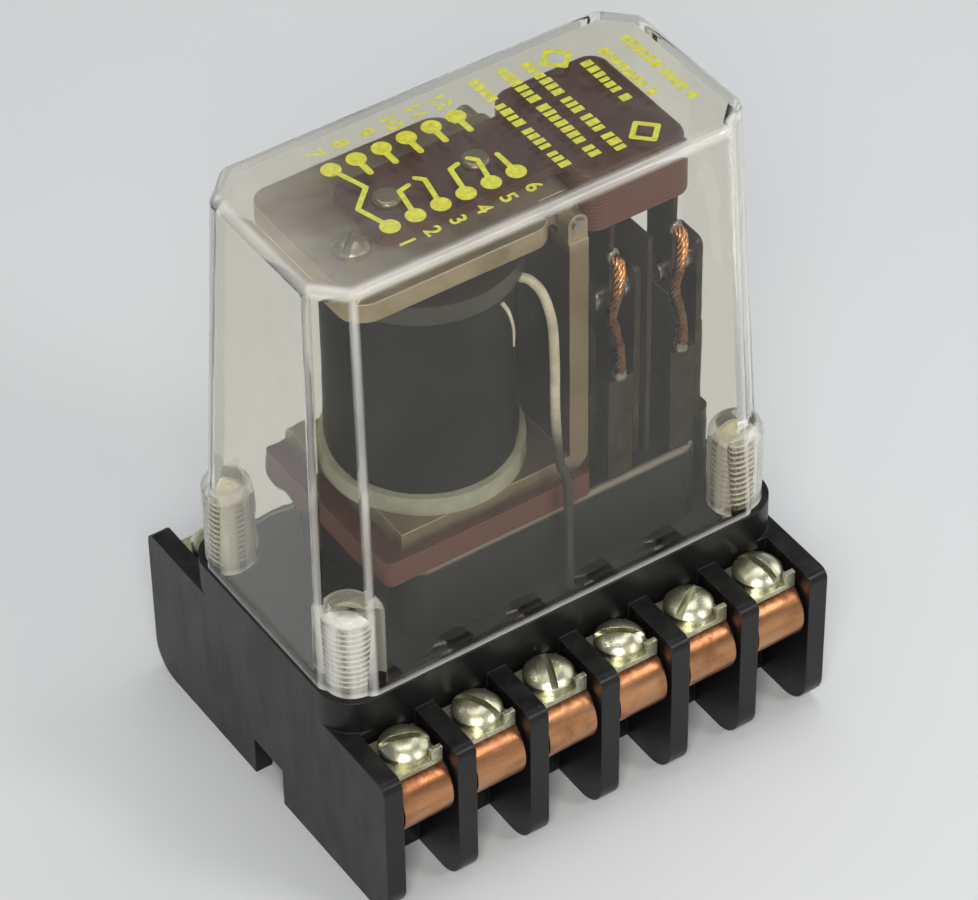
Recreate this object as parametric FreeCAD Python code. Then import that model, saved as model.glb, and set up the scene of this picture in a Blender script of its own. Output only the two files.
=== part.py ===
import FreeCAD, Part
import math
import os

# Plug-in relay: a black phenolic base with twelve side contacts, a clear cover,
# and between them a magnet, an armature and four sets of contacts.
# Millimetres. +X runs along the terminal rows, +Z is up. The origin is the middle
# of the base's underside. "Near" parts are on the -Y side, "far" parts on the +Y side.

os.makedirs("parts", exist_ok=True)
Vector = FreeCAD.Vector
X_AXIS = Vector(1, 0, 0)
Y_AXIS = Vector(0, 1, 0)
Z_AXIS = Vector(0, 0, 1)
SIDES = {"near": -1, "far": 1}

# ---------------------------------------------------------------- driving dimensions

PITCH = 9.525  # between neighbouring terminals
FIN = 2.4  # thickness of the walls between the bays
BASE_X = 3 * PITCH + FIN / 2  # half length of the base
BASE_Y = 24.6  # half width over the fins
BODY_Y = 16.2  # half width of the base's middle
PLATFORM = 25.4  # height of the base
FIN_TOP = 20.9
PLATFORM_CORNER = 4.3

COVER_HEIGHT = 54.1
COVER_WALL = 1.5
COVER_FOOT = (29.45, 16.0, 4.3)  # half length, half width and corner cut at the foot
COVER_HEAD = (27.5, 12.75, 3.7)  # the same at the top
COVER_EDGE = 1.5  # rounding of the upright and top edges
BOSS = (25.5, 12.0)  # centres of the corner bosses
BOSS_R = 3.4
BOSS_HEIGHT = 11.5
BOSS_HOLE = (1.7, 9.8)  # radius and depth
COVER_SCREW = (1.6, 9.0)  # radius, and reach above the platform

REBATE = (27.6, 14.2)  # recess under the base for the bottom plate
PLATE_Z = (3.0, 4.6)
POCKET = (26.4, 13.4)  # wiring space in the base
POCKET_TOP = 21.5
PILLAR = (22.4, 8.6)  # inner corner of the screw pillars in that space
NOTCH = (3.0, 5.4)  # half width and height of the notch in the end walls

LEDGE_Y = 20.1  # centre of a contact's barrel
LEDGE_Z = 14.5
BARREL_R = 4.2
STRIP = 0.8  # thickness of contact strip
STRAP_HALF = 3.15
SCREW_Y = 19.4
SCREW_R = 1.45
SCREW_TIP = 13.2
SCREW_HEAD = (2.9, 2.0)  # radius and height
CLAMP = 0.7
TAB_Y = 13.0  # outer face of a strap's solder tab
TAB_HALF = 1.0

PEDESTAL_TOP = 35.9
PEDESTAL_Y = 11.4
PEDESTAL_X = (-17.5, 21.1)
PEDESTAL_END = (25.3, 7.4)  # the narrower right end: its face and half width
PEDESTAL_SCREWS_X = (-14.5, 3.0)
INSULATOR = 3.4
YOKE = 2.4
YOKE_Y = 10.4
YOKE_TOP = 71.5
LUG_Y = (8.2, 10.2)
LEG_X = -18.0
LEG_Z = PEDESTAL_TOP + INSULATOR
COIL_X = -8.2
BOBBIN_R = 11.1
TAPE_R = 10.6
CORE_R = 5.6
COIL_LOW = LEG_Z + YOKE
COIL_HIGH = 71.0
FLANGE = 2.4
CORE_HOLE = 2.0  # radius of the way for the core's screw
UPRIGHT = (3.8, 6.2)

ARMATURE_Z = (73.0, 75.4)
ARMATURE_LEFT = -22.5
PIVOT = Vector(5.0, 0, 73.7)
PULL_IN = 3.6  # degrees the armature turns
PIN_R = 0.75
KNUCKLE_R = 1.7
KNUCKLE_Y = 7.9
TAIL = (12.0, 4.0)  # end and half width of the armature's tail
STOP = (-18.0, -3.2)
STOP_R = 1.05
RIVETS_X = (-11.5, -0.5)
RIVET_R = 0.9
CARRIER_X = (6.9, 21.2)
CARRIER_Z = (70.2, 76.6)
TONGUE = (-15.4, 5.2)  # left end and half width of the carrier's tongue

BLADES_X = (10.4, 18.6)
ROW_Y = 6.4
BLADE = 0.6
BLADE_HALF = 2.3
BUTTON_Z = 58.9
BUTTON_R = 1.4
BUTTON = 0.8
OPEN_GAP = 1.15
SHUT_GAP = 0.06
ARM_TOP = 62.5
BLADE_Z = (56.4, 72.7)
POST_Y = (9.9, 10.6)
POST_TOP = 50.0
# Insulating sheets across the contact rows: place, half width and top.
BARRIERS = ((15.05, 9.2, 66.4), (23.6, 7.0, 49.0))

SPRING_X = 9.6
WIRE_R = 0.45
LEAD = (2.0, 12.75)  # where the coil's leads go down through the platform


# ---------------------------------------------------------------- helpers


def box(x, y, z):
    """A block between the two values given for each axis, in either order."""
    low = Vector(min(x), min(y), min(z))
    size = Vector(max(x), max(y), max(z)) - low
    return Part.makeBox(size.x, size.y, size.z, low)


def rod(radius, start, end):
    """A cylinder between two points."""
    start = Vector(*start)
    line = Vector(*end) - start
    return Part.makeCylinder(radius, line.Length, start, line)


def round_edges(shape, radius, wanted):
    """Fillet the edges whose middle point passes the test."""
    edges = [e for e in shape.Edges if wanted(e.CenterOfMass)]
    return shape.makeFillet(radius, edges)


def slab(x, y, z, corner):
    """A block whose four upright edges are rounded."""
    middle = (min(z) + max(z)) / 2
    return round_edges(box(x, y, z), corner, lambda c: abs(c.z - middle) < 0.01)


def tube(points, radius, bend):
    """A round wire along straight runs joined by tangent arcs."""
    corners = [Vector(*p) for p in points]
    edges = []
    last = corners[0]
    for before, corner, after in zip(corners, corners[1:], corners[2:]):
        inward = (before - corner).normalize()
        outward = (after - corner).normalize()
        turn = math.pi - inward.getAngle(outward)
        reach = bend * math.tan(turn / 2)
        middle = (inward + outward).normalize()
        depth = bend / math.cos(turn / 2) - bend
        first = corner + inward * reach
        second = corner + outward * reach
        edges.append(Part.LineSegment(last, first).toShape())
        edges.append(Part.Arc(first, corner + middle * depth, second).toShape())
        last = second
    edges.append(Part.LineSegment(last, corners[-1]).toShape())
    path = Part.Wire(edges)
    ring = Part.Wire(Part.makeCircle(radius, corners[0], corners[1] - corners[0]))
    return path.makePipeShell([ring], True, False)


def screw(x, y, seat, tip, shank_r, head_r, head, slot_angle, up=1):
    """A slotted round-head screw; the head rises from its seat, or hangs below it when up is -1."""
    rim = 0.45 * head
    profile = [
        Part.LineSegment(Vector(0, 0, 0), Vector(head_r, 0, 0)).toShape(),
        Part.LineSegment(Vector(head_r, 0, 0), Vector(head_r, 0, rim)).toShape(),
        Part.Arc(
            Vector(head_r, 0, rim), Vector(0.72 * head_r, 0, 0.82 * head), Vector(0, 0, head)
        ).toShape(),
        Part.LineSegment(Vector(0, 0, head), Vector(0, 0, 0)).toShape(),
    ]
    shape = Part.Face(Part.Wire(profile)).revolve(Vector(0, 0, 0), Z_AXIS, 360)
    slot = box((-head_r, head_r), (-0.4, 0.4), (head * 0.5, head * 1.2))
    slot.rotate(Vector(0, 0, 0), Z_AXIS, slot_angle)
    shape = shape.cut(slot)
    if up < 0:
        shape.rotate(Vector(0, 0, 0), X_AXIS, 180)
    shape.translate(Vector(x, y, seat))
    return shape.fuse(rod(shank_r, (x, y, seat), (x, y, tip)))


def save(name, *shapes):
    """Write one node; several shapes become a group of separate solids."""
    solids = [solid for shape in shapes for solid in shape.Solids]
    if not solids:
        raise ValueError(name + " has no solid")
    for solid in solids:
        if not solid.isValid():
            raise ValueError(name + " has a solid that is not valid")
    whole = solids[0] if len(solids) == 1 else Part.makeCompound(solids)
    whole.exportStep("parts/" + name + ".step")


# ---------------------------------------------------------------- terminals and wiring places

TERMINALS_X = [(i - 2.5) * PITCH for i in range(6)]
# A strap's tab in the wiring space; the end ones stand in from the screw pillars.
TABS_X = [math.copysign(min(abs(x), 21.3), x) for x in TERMINALS_X]
LEVELS = [7.0, 17.0, 15.0, 13.0, 11.0, 9.0]  # height of each jumper wire


def arm_x(blade_x, kind):
    """The two faces of a fixed contact arm beside a moving blade."""
    face = BLADE / 2 + BUTTON
    if kind == "open":
        inner = blade_x + face + OPEN_GAP + BUTTON
        return (inner, inner + STRIP)
    inner = blade_x - face - SHUT_GAP - BUTTON
    return (inner - STRIP, inner)


# Which fixed arms each pole has: changeover at the magnet's end on both sides,
# then a make contact on the near side and a break contact on the far side.
POLES = {
    ("near", 0): ("shut", "open"),
    ("near", 1): ("open",),
    ("far", 0): ("shut", "open"),
    ("far", 1): ("shut",),
}

first, second = BLADES_X
# Contacts in the order of the strap row, after the coil's strap.
ROW_ORDER = {
    "near": [("shut", first), ("post", first), ("open", first), ("post", second), ("open", second)],
    "far": [("shut", first), ("post", first), ("open", first), ("shut", second), ("post", second)],
}


def tail_level(side, kind, blade_x):
    """Height of the jumper wire that ends at this contact."""
    return LEVELS[1 + ROW_ORDER[side].index((kind, blade_x))]


# ---------------------------------------------------------------- base


def base_fin(x):
    """One cross wall from side to side, with rounded outer corners."""
    fin = box((x - FIN / 2, x + FIN / 2), (-BASE_Y, BASE_Y), (0, FIN_TOP))
    fin = round_edges(fin, 4.0, lambda c: abs(abs(c.y) - BASE_Y) < 0.01 and abs(c.z) < 0.01)
    return round_edges(fin, 1.2, lambda c: abs(abs(c.y) - BASE_Y) < 0.01 and abs(c.z - FIN_TOP) < 0.01)


def ledge(x, sign):
    """The round-nosed shelf that carries one contact strap."""
    nose = BARREL_R - STRIP
    half = (PITCH - FIN) / 2 + 0.1
    shelf = box((x - half, x + half), (sign * (BODY_Y - 1), sign * LEDGE_Y), (LEDGE_Z - nose, LEDGE_Z + nose))
    return shelf.fuse(rod(nose, (x - half, sign * LEDGE_Y, LEDGE_Z), (x + half, sign * LEDGE_Y, LEDGE_Z)))


def make_base():
    shape = box((-BASE_X, BASE_X), (-BODY_Y, BODY_Y), (0, FIN_TOP))
    shape = shape.fuse(slab((-BASE_X, BASE_X), (-BODY_Y, BODY_Y), (FIN_TOP - 1, PLATFORM), PLATFORM_CORNER))
    added = [base_fin((i - 3) * PITCH) for i in range(7)]
    added += [ledge(x, sign) for x in TERMINALS_X for sign in SIDES.values()]
    shape = shape.fuse(added)

    pocket = box((-POCKET[0], POCKET[0]), (-POCKET[1], POCKET[1]), (PLATE_Z[1] - 1, POCKET_TOP))
    pillars = [
        box((sx * PILLAR[0], sx * 30), (sy * PILLAR[1], sy * 20), (0, PLATFORM))
        for sx in (-1, 1)
        for sy in (-1, 1)
    ]
    cuts = [pocket.cut(pillars)]
    cuts.append(box((-REBATE[0], REBATE[0]), (-REBATE[1], REBATE[1]), (-1, PLATE_Z[1])))
    for sx in (-1, 1):
        cuts.append(box((sx * 27.0, sx * 31), (-NOTCH[0], NOTCH[0]), (-1, NOTCH[1])))
        for sy in (-1, 1):
            x, y = sx * BOSS[0], sy * BOSS[1]
            cuts.append(rod(1.9, (x, y, 0), (x, y, PLATFORM + 1)))
            cuts.append(rod(3.2, (x, y, -1), (x, y, PLATE_Z[1])))
    for sign in SIDES.values():
        for x, tab in zip(TERMINALS_X, TABS_X):
            cuts.append(rod(SCREW_R + 0.05, (x, sign * SCREW_Y, 12.9), (x, sign * SCREW_Y, 20)))
            top = LEDGE_Z + BARREL_R + 0.05
            slit = TAB_HALF + 0.05
            y = (sign * TAB_Y, sign * (BODY_Y + 1))
            cuts.append(box((tab - slit, tab + slit), y, (top - STRIP - 0.1, top)))
        cuts.append(rod(0.75, (LEAD[0], sign * LEAD[1], 20), (LEAD[0], sign * LEAD[1], 26)))
    cuts += contact_slots()
    cuts += [rod(SCREW_R + 0.1, (x, 0, 20), (x, 0, 26)) for x in PEDESTAL_SCREWS_X]
    return shape.cut(cuts).removeSplitter()


def contact_slots():
    """Clearance for every contact's tail through the platform and the pedestal."""
    slack = 0.05
    cuts = []
    for side, sign in SIDES.items():
        for kind, blade_x in ROW_ORDER[side]:
            if kind == "post":
                x = (blade_x - 1.0 - slack, blade_x + 1.0 + slack)
                y = (sign * (POST_Y[0] - slack), sign * (POST_Y[1] + slack))
            else:
                faces = arm_x(blade_x, kind)
                x = (faces[0] - slack, faces[1] + slack)
                y = (sign * (ROW_Y - 1.0 - slack), sign * (ROW_Y + 1.0 + slack))
            cuts.append(box(x, y, (20, PEDESTAL_TOP + 1)))
    return cuts


def make_bottom_plate():
    plate = box((0.1 - REBATE[0], REBATE[0] - 0.1), (0.1 - REBATE[1], REBATE[1] - 0.1), PLATE_Z)
    holes = []
    for sx in (-1, 1):
        for sy in (-1, 1):
            x, y = sx * BOSS[0], sy * BOSS[1]
            holes.append(rod(1.9, (x, y, 0), (x, y, 6)))
    return plate.cut(holes)


def make_strap(index, sign):
    """A contact: top leg, round nose, return leg, and a tab through the wall."""
    x = TERMINALS_X[index]
    outer, inner = BARREL_R, BARREL_R - STRIP
    back, foot = BODY_Y + 0.05, BODY_Y + 1.0
    edges = [
        Part.LineSegment(Vector(0, back, LEDGE_Z + outer), Vector(0, LEDGE_Y, LEDGE_Z + outer)),
        Part.Arc(
            Vector(0, LEDGE_Y, LEDGE_Z + outer),
            Vector(0, LEDGE_Y + outer, LEDGE_Z),
            Vector(0, LEDGE_Y, LEDGE_Z - outer),
        ),
        Part.LineSegment(Vector(0, LEDGE_Y, LEDGE_Z - outer), Vector(0, foot, LEDGE_Z - outer)),
        Part.LineSegment(Vector(0, foot, LEDGE_Z - outer), Vector(0, foot, LEDGE_Z - inner)),
        Part.LineSegment(Vector(0, foot, LEDGE_Z - inner), Vector(0, LEDGE_Y, LEDGE_Z - inner)),
        Part.Arc(
            Vector(0, LEDGE_Y, LEDGE_Z - inner),
            Vector(0, LEDGE_Y + inner, LEDGE_Z),
            Vector(0, LEDGE_Y, LEDGE_Z + inner),
        ),
        Part.LineSegment(Vector(0, LEDGE_Y, LEDGE_Z + inner), Vector(0, back, LEDGE_Z + inner)),
        Part.LineSegment(Vector(0, back, LEDGE_Z + inner), Vector(0, back, LEDGE_Z + outer)),
    ]
    face = Part.Face(Part.Wire([e.toShape() for e in edges]))
    shape = face.extrude(X_AXIS * (2 * STRAP_HALF))
    shape.translate(Vector(x - STRAP_HALF, 0, 0))
    tab = TABS_X[index]
    top = LEDGE_Z + outer
    tab_x = (tab - TAB_HALF, tab + TAB_HALF)
    shape = shape.fuse(box(tab_x, (TAB_Y - STRIP, back + 0.2), (top - STRIP, top)))
    shape = shape.fuse(box(tab_x, (TAB_Y - STRIP, TAB_Y), (LEVELS[index] - 0.5, top)))
    shape = shape.cut(rod(1.6, (x, SCREW_Y, LEDGE_Z), (x, SCREW_Y, top + 1)))
    if sign < 0:
        shape = shape.mirror(Vector(0, 0, 0), Y_AXIS)
    return shape.removeSplitter()


def make_clamp(x, sign):
    """A wire clamp: a flat plate under the screw head, one front corner bent up."""
    low = LEDGE_Z + BARREL_R
    plate = box((x - 2.9, x + 2.9), (sign * 16.6, sign * 22.6), (low, low + CLAMP))
    lip = box((x + 1.5, x + 2.9), (sign * 22.0, sign * 22.6), (low, low + 2.2))
    hole = rod(1.6, (x, sign * SCREW_Y, low - 1), (x, sign * SCREW_Y, low + 2))
    return plate.fuse(lip).cut(hole).removeSplitter()


def make_jumpers():
    """Straight wires in the base, from each strap's tab to its contact's tail, one level each."""
    wires = []
    start_y = TAB_Y - STRIP - WIRE_R - 0.03
    for side, sign in SIDES.items():
        for index, (kind, blade_x) in enumerate(ROW_ORDER[side], start=1):
            if kind == "post":
                end_x, end_y = blade_x, POST_Y[1]
            else:
                end_x, end_y = sum(arm_x(blade_x, kind)) / 2, ROW_Y + 1.0
            z = LEVELS[index]
            end_y += WIRE_R + 0.05
            wires.append(rod(WIRE_R, (TABS_X[index], sign * start_y, z), (end_x, sign * end_y, z)))
        z = LEVELS[0]
        wires.append(rod(WIRE_R, (TABS_X[0], sign * start_y, z), (LEAD[0] - 0.7, sign * start_y, z)))
    return wires


# ---------------------------------------------------------------- cover


def octagon(half_x, half_y, cut, z):
    points = [
        (half_x, half_y - cut),
        (half_x - cut, half_y),
        (cut - half_x, half_y),
        (-half_x, half_y - cut),
        (-half_x, cut - half_y),
        (cut - half_x, -half_y),
        (half_x - cut, -half_y),
        (half_x, cut - half_y),
    ]
    points.append(points[0])
    return Part.makePolygon([Vector(px, py, z) for px, py in points])


def make_cover():
    top = PLATFORM + COVER_HEIGHT
    outer = Part.makeLoft([octagon(*COVER_FOOT, PLATFORM), octagon(*COVER_HEAD, top)], True, True)
    outer = round_edges(outer, COVER_EDGE, lambda c: c.z > PLATFORM + 1)
    inner = []
    for half_x, half_y, cut, z in [(*COVER_FOOT, PLATFORM - 0.5), (*COVER_HEAD, top - COVER_WALL)]:
        shrink = COVER_WALL
        inner.append(octagon(half_x - shrink, half_y - shrink, cut - 0.55 * shrink, z))
    cavity = Part.makeLoft(inner, True, True)
    shell = outer.cut(cavity)
    bosses = []
    holes = []
    for sx in (-1, 1):
        for sy in (-1, 1):
            x, y = sx * BOSS[0], sy * BOSS[1]
            boss = rod(BOSS_R, (x, y, PLATFORM), (x, y, PLATFORM + BOSS_HEIGHT))
            bosses.append(round_edges(boss, 1.6, lambda c: c.z > PLATFORM + BOSS_HEIGHT - 0.1))
            holes.append(rod(BOSS_HOLE[0], (x, y, PLATFORM - 1), (x, y, PLATFORM + BOSS_HOLE[1])))
    return shell.fuse(bosses).cut(holes)


def make_cover_screws():
    screws = []
    radius, reach = COVER_SCREW
    for sx in (-1, 1):
        for sy in (-1, 1):
            slot_angle = 35 * sx + 20 * sy
            x, y = sx * BOSS[0], sy * BOSS[1]
            screws.append(screw(x, y, PLATE_Z[0], PLATFORM + reach, radius, 2.8, 2.1, slot_angle, up=-1))
    return screws


# ---------------------------------------------------------------- pedestal and magnet


def make_pedestal():
    """The moulded block on the platform; its right end steps in past the cover's bosses."""
    shape = slab(PEDESTAL_X, (-PEDESTAL_Y, PEDESTAL_Y), (PLATFORM, PEDESTAL_TOP), 2.8)
    shape = round_edges(shape, 1.2, lambda c: abs(c.z - PEDESTAL_TOP) < 0.01)
    end, half_y = PEDESTAL_END
    shape = shape.fuse(slab((14, end), (-half_y, half_y), (PLATFORM, PEDESTAL_TOP), 1.5))
    cuts = contact_slots()
    for x in PEDESTAL_SCREWS_X:
        cuts.append(rod(SCREW_R + 0.05, (x, 0, PLATFORM - 1), (x, 0, PLATFORM + 8)))
    cuts.append(rod(CORE_HOLE, (COIL_X, 0, PLATFORM - 1), (COIL_X, 0, PEDESTAL_TOP + 1)))
    cuts.append(rod(3.6, (COIL_X, 0, PLATFORM - 1), (COIL_X, 0, PLATFORM + 3.2)))
    cuts.append(box((SPRING_X - 0.45, SPRING_X + 0.45), (-1.6, 1.6), (30, PEDESTAL_TOP + 1)))
    for barrier_x, _, _ in BARRIERS:
        cuts.append(box((barrier_x - 0.35, barrier_x + 0.35), (-7.1, 7.1), (33.9, PEDESTAL_TOP + 1)))
    return shape.cut(cuts).removeSplitter()


def make_yoke():
    """An L of plated steel: a leg under the coil and an upright with two hinge lugs."""
    leg = box((LEG_X, UPRIGHT[1]), (-YOKE_Y, YOKE_Y), (LEG_Z, LEG_Z + YOKE))
    upright = box(UPRIGHT, (-YOKE_Y, YOKE_Y), (LEG_Z, YOKE_TOP))
    shape = leg.fuse(upright).removeSplitter()
    shape = round_edges(shape, 2.2, lambda c: abs(c.x - UPRIGHT[1]) < 0.01 and abs(c.z - LEG_Z) < 0.01)
    for sign in (-1, 1):
        y = (sign * LUG_Y[0], sign * LUG_Y[1])
        lug = box(UPRIGHT, y, (YOKE_TOP - 0.5, PIVOT.z))
        eye = rod(1.2, (PIVOT.x, y[0], PIVOT.z), (PIVOT.x, y[1], PIVOT.z))
        shape = shape.fuse(lug.fuse(eye))
    pin_hole = rod(PIN_R, (PIVOT.x, -12, PIVOT.z), (PIVOT.x, 12, PIVOT.z))
    core_hole = rod(CORE_HOLE, (COIL_X, 0, 30), (COIL_X, 0, 45))
    return shape.cut([pin_hole, core_hole]).removeSplitter()


def make_pin():
    pin = rod(PIN_R, (PIVOT.x, -10.6, PIVOT.z), (PIVOT.x, 10.2, PIVOT.z))
    return pin.fuse(rod(1.15, (PIVOT.x, 10.2, PIVOT.z), (PIVOT.x, 10.7, PIVOT.z)))


def core_top():
    """The pole face, just under the armature when the armature is pulled in."""
    turn = math.radians(PULL_IN)
    reach = PIVOT.x - (COIL_X - CORE_R)
    drop = reach * math.sin(turn) + (PIVOT.z - ARMATURE_Z[0]) * math.cos(turn)
    return PIVOT.z - drop - 0.1


def make_bobbin():
    shape = rod(6.6, (COIL_X, 0, COIL_LOW), (COIL_X, 0, COIL_HIGH))
    for z in (COIL_LOW, COIL_HIGH - FLANGE):
        shape = shape.fuse(rod(BOBBIN_R, (COIL_X, 0, z), (COIL_X, 0, z + FLANGE)))
    bore = rod(CORE_R + 0.05, (COIL_X, 0, COIL_LOW - 1), (COIL_X, 0, COIL_HIGH + 1))
    return shape.cut(bore).removeSplitter()


def ring(inner, outer, low, high):
    """A sleeve round the coil's axis."""
    bore = rod(inner, (COIL_X, 0, low - 1), (COIL_X, 0, high + 1))
    return rod(outer, (COIL_X, 0, low), (COIL_X, 0, high)).cut(bore)


def make_lead(sign):
    """A coil lead: off the coil's top, round in front of it and down through the platform."""
    points = [
        (-4.5, sign * 10.75, 67.4),
        (-0.5, sign * 11.2, 67.0),
        (2.4, sign * 11.25, 58.0),
        (1.4, sign * 12.1, 46.0),
        (LEAD[0], sign * LEAD[1], 38.0),
        (LEAD[0], sign * LEAD[1], LEVELS[0] - 0.5),
    ]
    return tube(points, 0.55, 2.2)


# ---------------------------------------------------------------- armature and contacts


def make_armature():
    """The plate over the coil, with a rounded left end, a knuckle on the pin and a short tail."""
    plate = slab((ARMATURE_LEFT, 2.2), (-YOKE_Y, YOKE_Y), ARMATURE_Z, 2.5)
    shape = plate.fuse(box((-2, PIVOT.x), (-KNUCKLE_Y, KNUCKLE_Y), ARMATURE_Z))
    shape = shape.fuse(rod(KNUCKLE_R, (PIVOT.x, -KNUCKLE_Y, PIVOT.z), (PIVOT.x, KNUCKLE_Y, PIVOT.z)))
    shape = shape.fuse(box((PIVOT.x, TAIL[0]), (-TAIL[1], TAIL[1]), ARMATURE_Z))
    holes = [rod(PIN_R + 0.05, (PIVOT.x, -12, PIVOT.z), (PIVOT.x, 12, PIVOT.z))]
    holes += [rod(RIVET_R, (x, 0, 72), (x, 0, 78)) for x in RIVETS_X]
    holes.append(rod(STOP_R + 0.05, (STOP[0], STOP[1], 72), (STOP[0], STOP[1], 78)))
    return shape.cut(holes).removeSplitter()


def make_carrier():
    """Phenolic tongue on the armature and, past the hinge, the block that holds the blades."""
    left, half_y = TONGUE
    tongue = slab((left, CARRIER_X[0] + 3), (-half_y, half_y), (ARMATURE_Z[1], CARRIER_Z[1]), 1.5)
    block = slab(CARRIER_X, (-8.9, 8.9), CARRIER_Z, 2.4)
    block = round_edges(block, 0.8, lambda c: abs(c.z - CARRIER_Z[1]) < 0.01)
    shape = tongue.fuse(block)
    cuts = [box((PIVOT.x, TAIL[0]), (-TAIL[1], TAIL[1]), ARMATURE_Z)]
    cuts += [rod(RIVET_R, (x, 0, 72), (x, 0, 78)) for x in RIVETS_X]
    cuts.append(rod(2.5, (SPRING_X, 0, CARRIER_Z[0] - 1), (SPRING_X, 0, ARMATURE_Z[0])))
    for blade_x in BLADES_X:
        for sign in (-1, 1):
            x = (blade_x - BLADE / 2, blade_x + BLADE / 2)
            y = (sign * (ROW_Y - BLADE_HALF), sign * (ROW_Y + BLADE_HALF))
            cuts.append(box(x, y, (CARRIER_Z[0] - 1, BLADE_Z[1])))
    return shape.cut(cuts).removeSplitter()


def make_rivets():
    rivets = []
    top = CARRIER_Z[1]
    for x in RIVETS_X:
        head = rod(1.6, (x, 0, top), (x, 0, top + 0.7))
        head = round_edges(head, 0.5, lambda c: c.z > top + 0.6)
        rivets.append(head.fuse(rod(RIVET_R, (x, 0, ARMATURE_Z[0]), (x, 0, top))))
    return rivets


def make_blade(blade_x, sign):
    """A moving contact strip that hangs from the carrier."""
    x = (blade_x - BLADE / 2, blade_x + BLADE / 2)
    y = (sign * (ROW_Y - BLADE_HALF), sign * (ROW_Y + BLADE_HALF))
    strip = box(x, y, BLADE_Z)
    strip = round_edges(strip, 1.4, lambda c: c.z < BLADE_Z[0] + 0.5 and abs(abs(c.y) - ROW_Y) > 1)
    hole = rod(0.8, (blade_x - 2, sign * ROW_Y, BUTTON_Z), (blade_x + 2, sign * ROW_Y, BUTTON_Z))
    return strip.cut(hole)


def make_moving_button(blade_x, sign):
    y = sign * ROW_Y
    half = BLADE / 2
    shape = rod(0.8, (blade_x - half - BUTTON, y, BUTTON_Z), (blade_x + half + BUTTON, y, BUTTON_Z))
    for direction in (-1, 1):
        start = blade_x + direction * half
        shape = shape.fuse(rod(BUTTON_R, (start, y, BUTTON_Z), (start + direction * BUTTON, y, BUTTON_Z)))
    return shape.removeSplitter()


def make_arm(blade_x, kind, side):
    """A fixed contact strip standing in the pedestal, with its tail in the wiring space."""
    sign = SIDES[side]
    faces = arm_x(blade_x, kind)
    shape = box(faces, (sign * (ROW_Y - BLADE_HALF), sign * (ROW_Y + BLADE_HALF)), (PEDESTAL_TOP, ARM_TOP))
    shape = round_edges(shape, 1.0, lambda c: c.z > ARM_TOP - 0.1 and abs(abs(c.y) - ROW_Y) > 1)
    low = tail_level(side, kind, blade_x) - 0.5
    tail = box(faces, (sign * (ROW_Y - 1), sign * (ROW_Y + 1)), (low, PEDESTAL_TOP))
    return shape.fuse(tail).removeSplitter()


def make_fixed_button(blade_x, kind, side):
    faces = arm_x(blade_x, kind)
    y = SIDES[side] * ROW_Y
    if kind == "open":
        return rod(BUTTON_R + 0.2, (faces[0] - BUTTON, y, BUTTON_Z + 0.4), (faces[0], y, BUTTON_Z + 0.4))
    return rod(BUTTON_R + 0.2, (faces[1], y, BUTTON_Z), (faces[1] + BUTTON, y, BUTTON_Z))


def make_post(blade_x, side):
    """The strip that a braid's lower end is welded to."""
    sign = SIDES[side]
    y = (sign * POST_Y[0], sign * POST_Y[1])
    low = tail_level(side, "post", blade_x) - 0.5
    shape = box((blade_x - 1.6, blade_x + 1.6), y, (PEDESTAL_TOP, POST_TOP))
    return shape.fuse(box((blade_x - 1, blade_x + 1), y, (low, PEDESTAL_TOP))).removeSplitter()


def make_braid(blade_x, sign):
    """A flexible copper lead from a blade's edge down to its post."""
    start = ROW_Y + BLADE_HALF + 0.02
    points = [
        (blade_x, sign * start, 66.0),
        (blade_x, sign * 10.9, 66.0),
        (blade_x - 1.7, sign * 11.0, 60.0),
        (blade_x, sign * 10.25, 54.0),
        (blade_x, sign * 10.25, POST_TOP + 0.02),
    ]
    return tube(points, 0.7, 1.1)


def make_barrier(x, half_y, top):
    upper = box((x - 0.3, x + 0.3), (-half_y, half_y), (PEDESTAL_TOP, top))
    foot = box((x - 0.3, x + 0.3), (-7.0, 7.0), (33.95, PEDESTAL_TOP))
    return upper.fuse(foot).removeSplitter()


def make_spring():
    """Close-wound tension spring between the armature's tail and the anchor strip."""
    wire, mean, low, high = 0.28, 1.6, 50.5, 69.0
    turns = Part.makeHelix(1.15, high - low, mean)
    section = Part.Wire(Part.makeCircle(wire, Vector(mean, 0, 0), Y_AXIS))
    coil = Part.Wire(turns).makePipeShell([section], True, True)
    coil.translate(Vector(SPRING_X, 0, low))
    return coil


def make_spring_hooks():
    """The spring's straight ends, up to the tail and down to the anchor."""
    top = rod(0.28, (SPRING_X, 0, 69.4), (SPRING_X, 0, ARMATURE_Z[0] - 0.02))
    low = rod(0.28, (SPRING_X, 0, 48.6), (SPRING_X, 0, 50.1))
    return [top, low]


# ---------------------------------------------------------------- write every node

save("base_moulding", make_base())
save("bottom_plate", make_bottom_plate())
slot_angles = [20, 65, 110, 35, 150, 80]
clamps, terminal_screws = [], []
for side, sign in SIDES.items():
    for index, x in enumerate(TERMINALS_X):
        save("contact_strap_%s_%d" % (side, index + 1), make_strap(index, sign))
        clamps.append(make_clamp(x, sign))
        seat = LEDGE_Z + BARREL_R + CLAMP
        angle = sign * slot_angles[index]
        terminal_screws.append(screw(x, sign * SCREW_Y, seat, SCREW_TIP, SCREW_R, *SCREW_HEAD, angle))
save("clamp_plates", *clamps)
save("terminal_screws", *terminal_screws)
save("jumper_wires", *make_jumpers())
save("cover", make_cover())
save("cover_screws", *make_cover_screws())

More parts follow.
